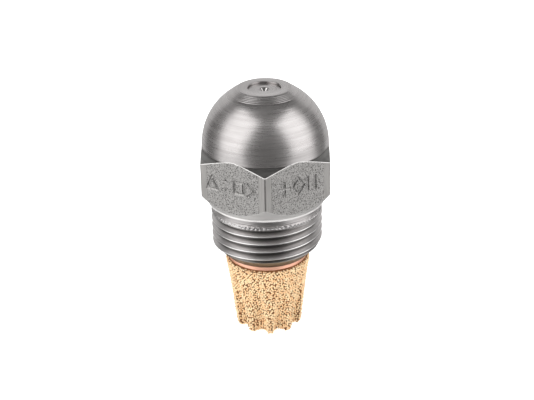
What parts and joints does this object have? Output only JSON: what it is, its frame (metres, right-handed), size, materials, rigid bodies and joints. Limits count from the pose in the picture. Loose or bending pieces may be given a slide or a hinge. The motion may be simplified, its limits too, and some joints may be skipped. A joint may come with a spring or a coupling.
{
  "type": "oil burner nozzle",
  "caption": "Domed hexagonal spray nozzle with a threaded shank, an insert with a fine central orifice, and a fluted porous metal filter.",
  "frame": {"origin": "centre of the filter's flat lower end, on which the nozzle stands", "axes": "+Z along the nozzle's axis towards the spray hole; a corner of the hexagon points to -Y and two flats face -X and +X"},
  "size_m": [0.0158, 0.0182, 0.0329],
  "materials": {
    "body_steel": "satin turned, grained flats",
    "disc_steel": "satin",
    "brass": "turned",
    "copper": "satin",
    "sintered_bronze": "porous, sintered beads"
  },
  "bodies": {
    "nozzle": {"nozzle_body": "body_steel", "orifice_disc": "disc_steel"},
    "swirl_plug": {"distributor": "brass"},
    "rear_screw": {"lock_screw": "brass"},
    "gasket": {"seal_ring": "copper"},
    "strainer": {"sinter_filter": "sintered_bronze", "filter_bush": "brass"}
  },
  "joints": [
    {"name": "distributor_slide", "type": "slide", "parent": "nozzle", "child": "swirl_plug", "axis": [0, 0, -1], "range_m": [0, 0.0015]},
    {"name": "lock_screw_turn", "type": "hinge", "parent": "swirl_plug", "child": "rear_screw", "pos_m": [0, 0, 0.0206], "axis": [0, 0, -1], "range_deg": [0, 720]},
    {"name": "seal_ring_slide", "type": "slide", "parent": "nozzle", "child": "gasket", "axis": [0, 0, -1], "range_m": [0, 0.003]},
    {"name": "filter_turn", "type": "hinge", "parent": "gasket", "child": "strainer", "pos_m": [0, 0, 0.0101], "axis": [0, 0, -1], "range_deg": [0, 1440]}
  ],
  "couplings": [
    {"joint": "lock_screw_turn", "follows": "distributor_slide", "rad_per_m": 8377.6},
    {"joint": "filter_turn", "follows": "seal_ring_slide", "rad_per_m": 8377.6}
  ]
}
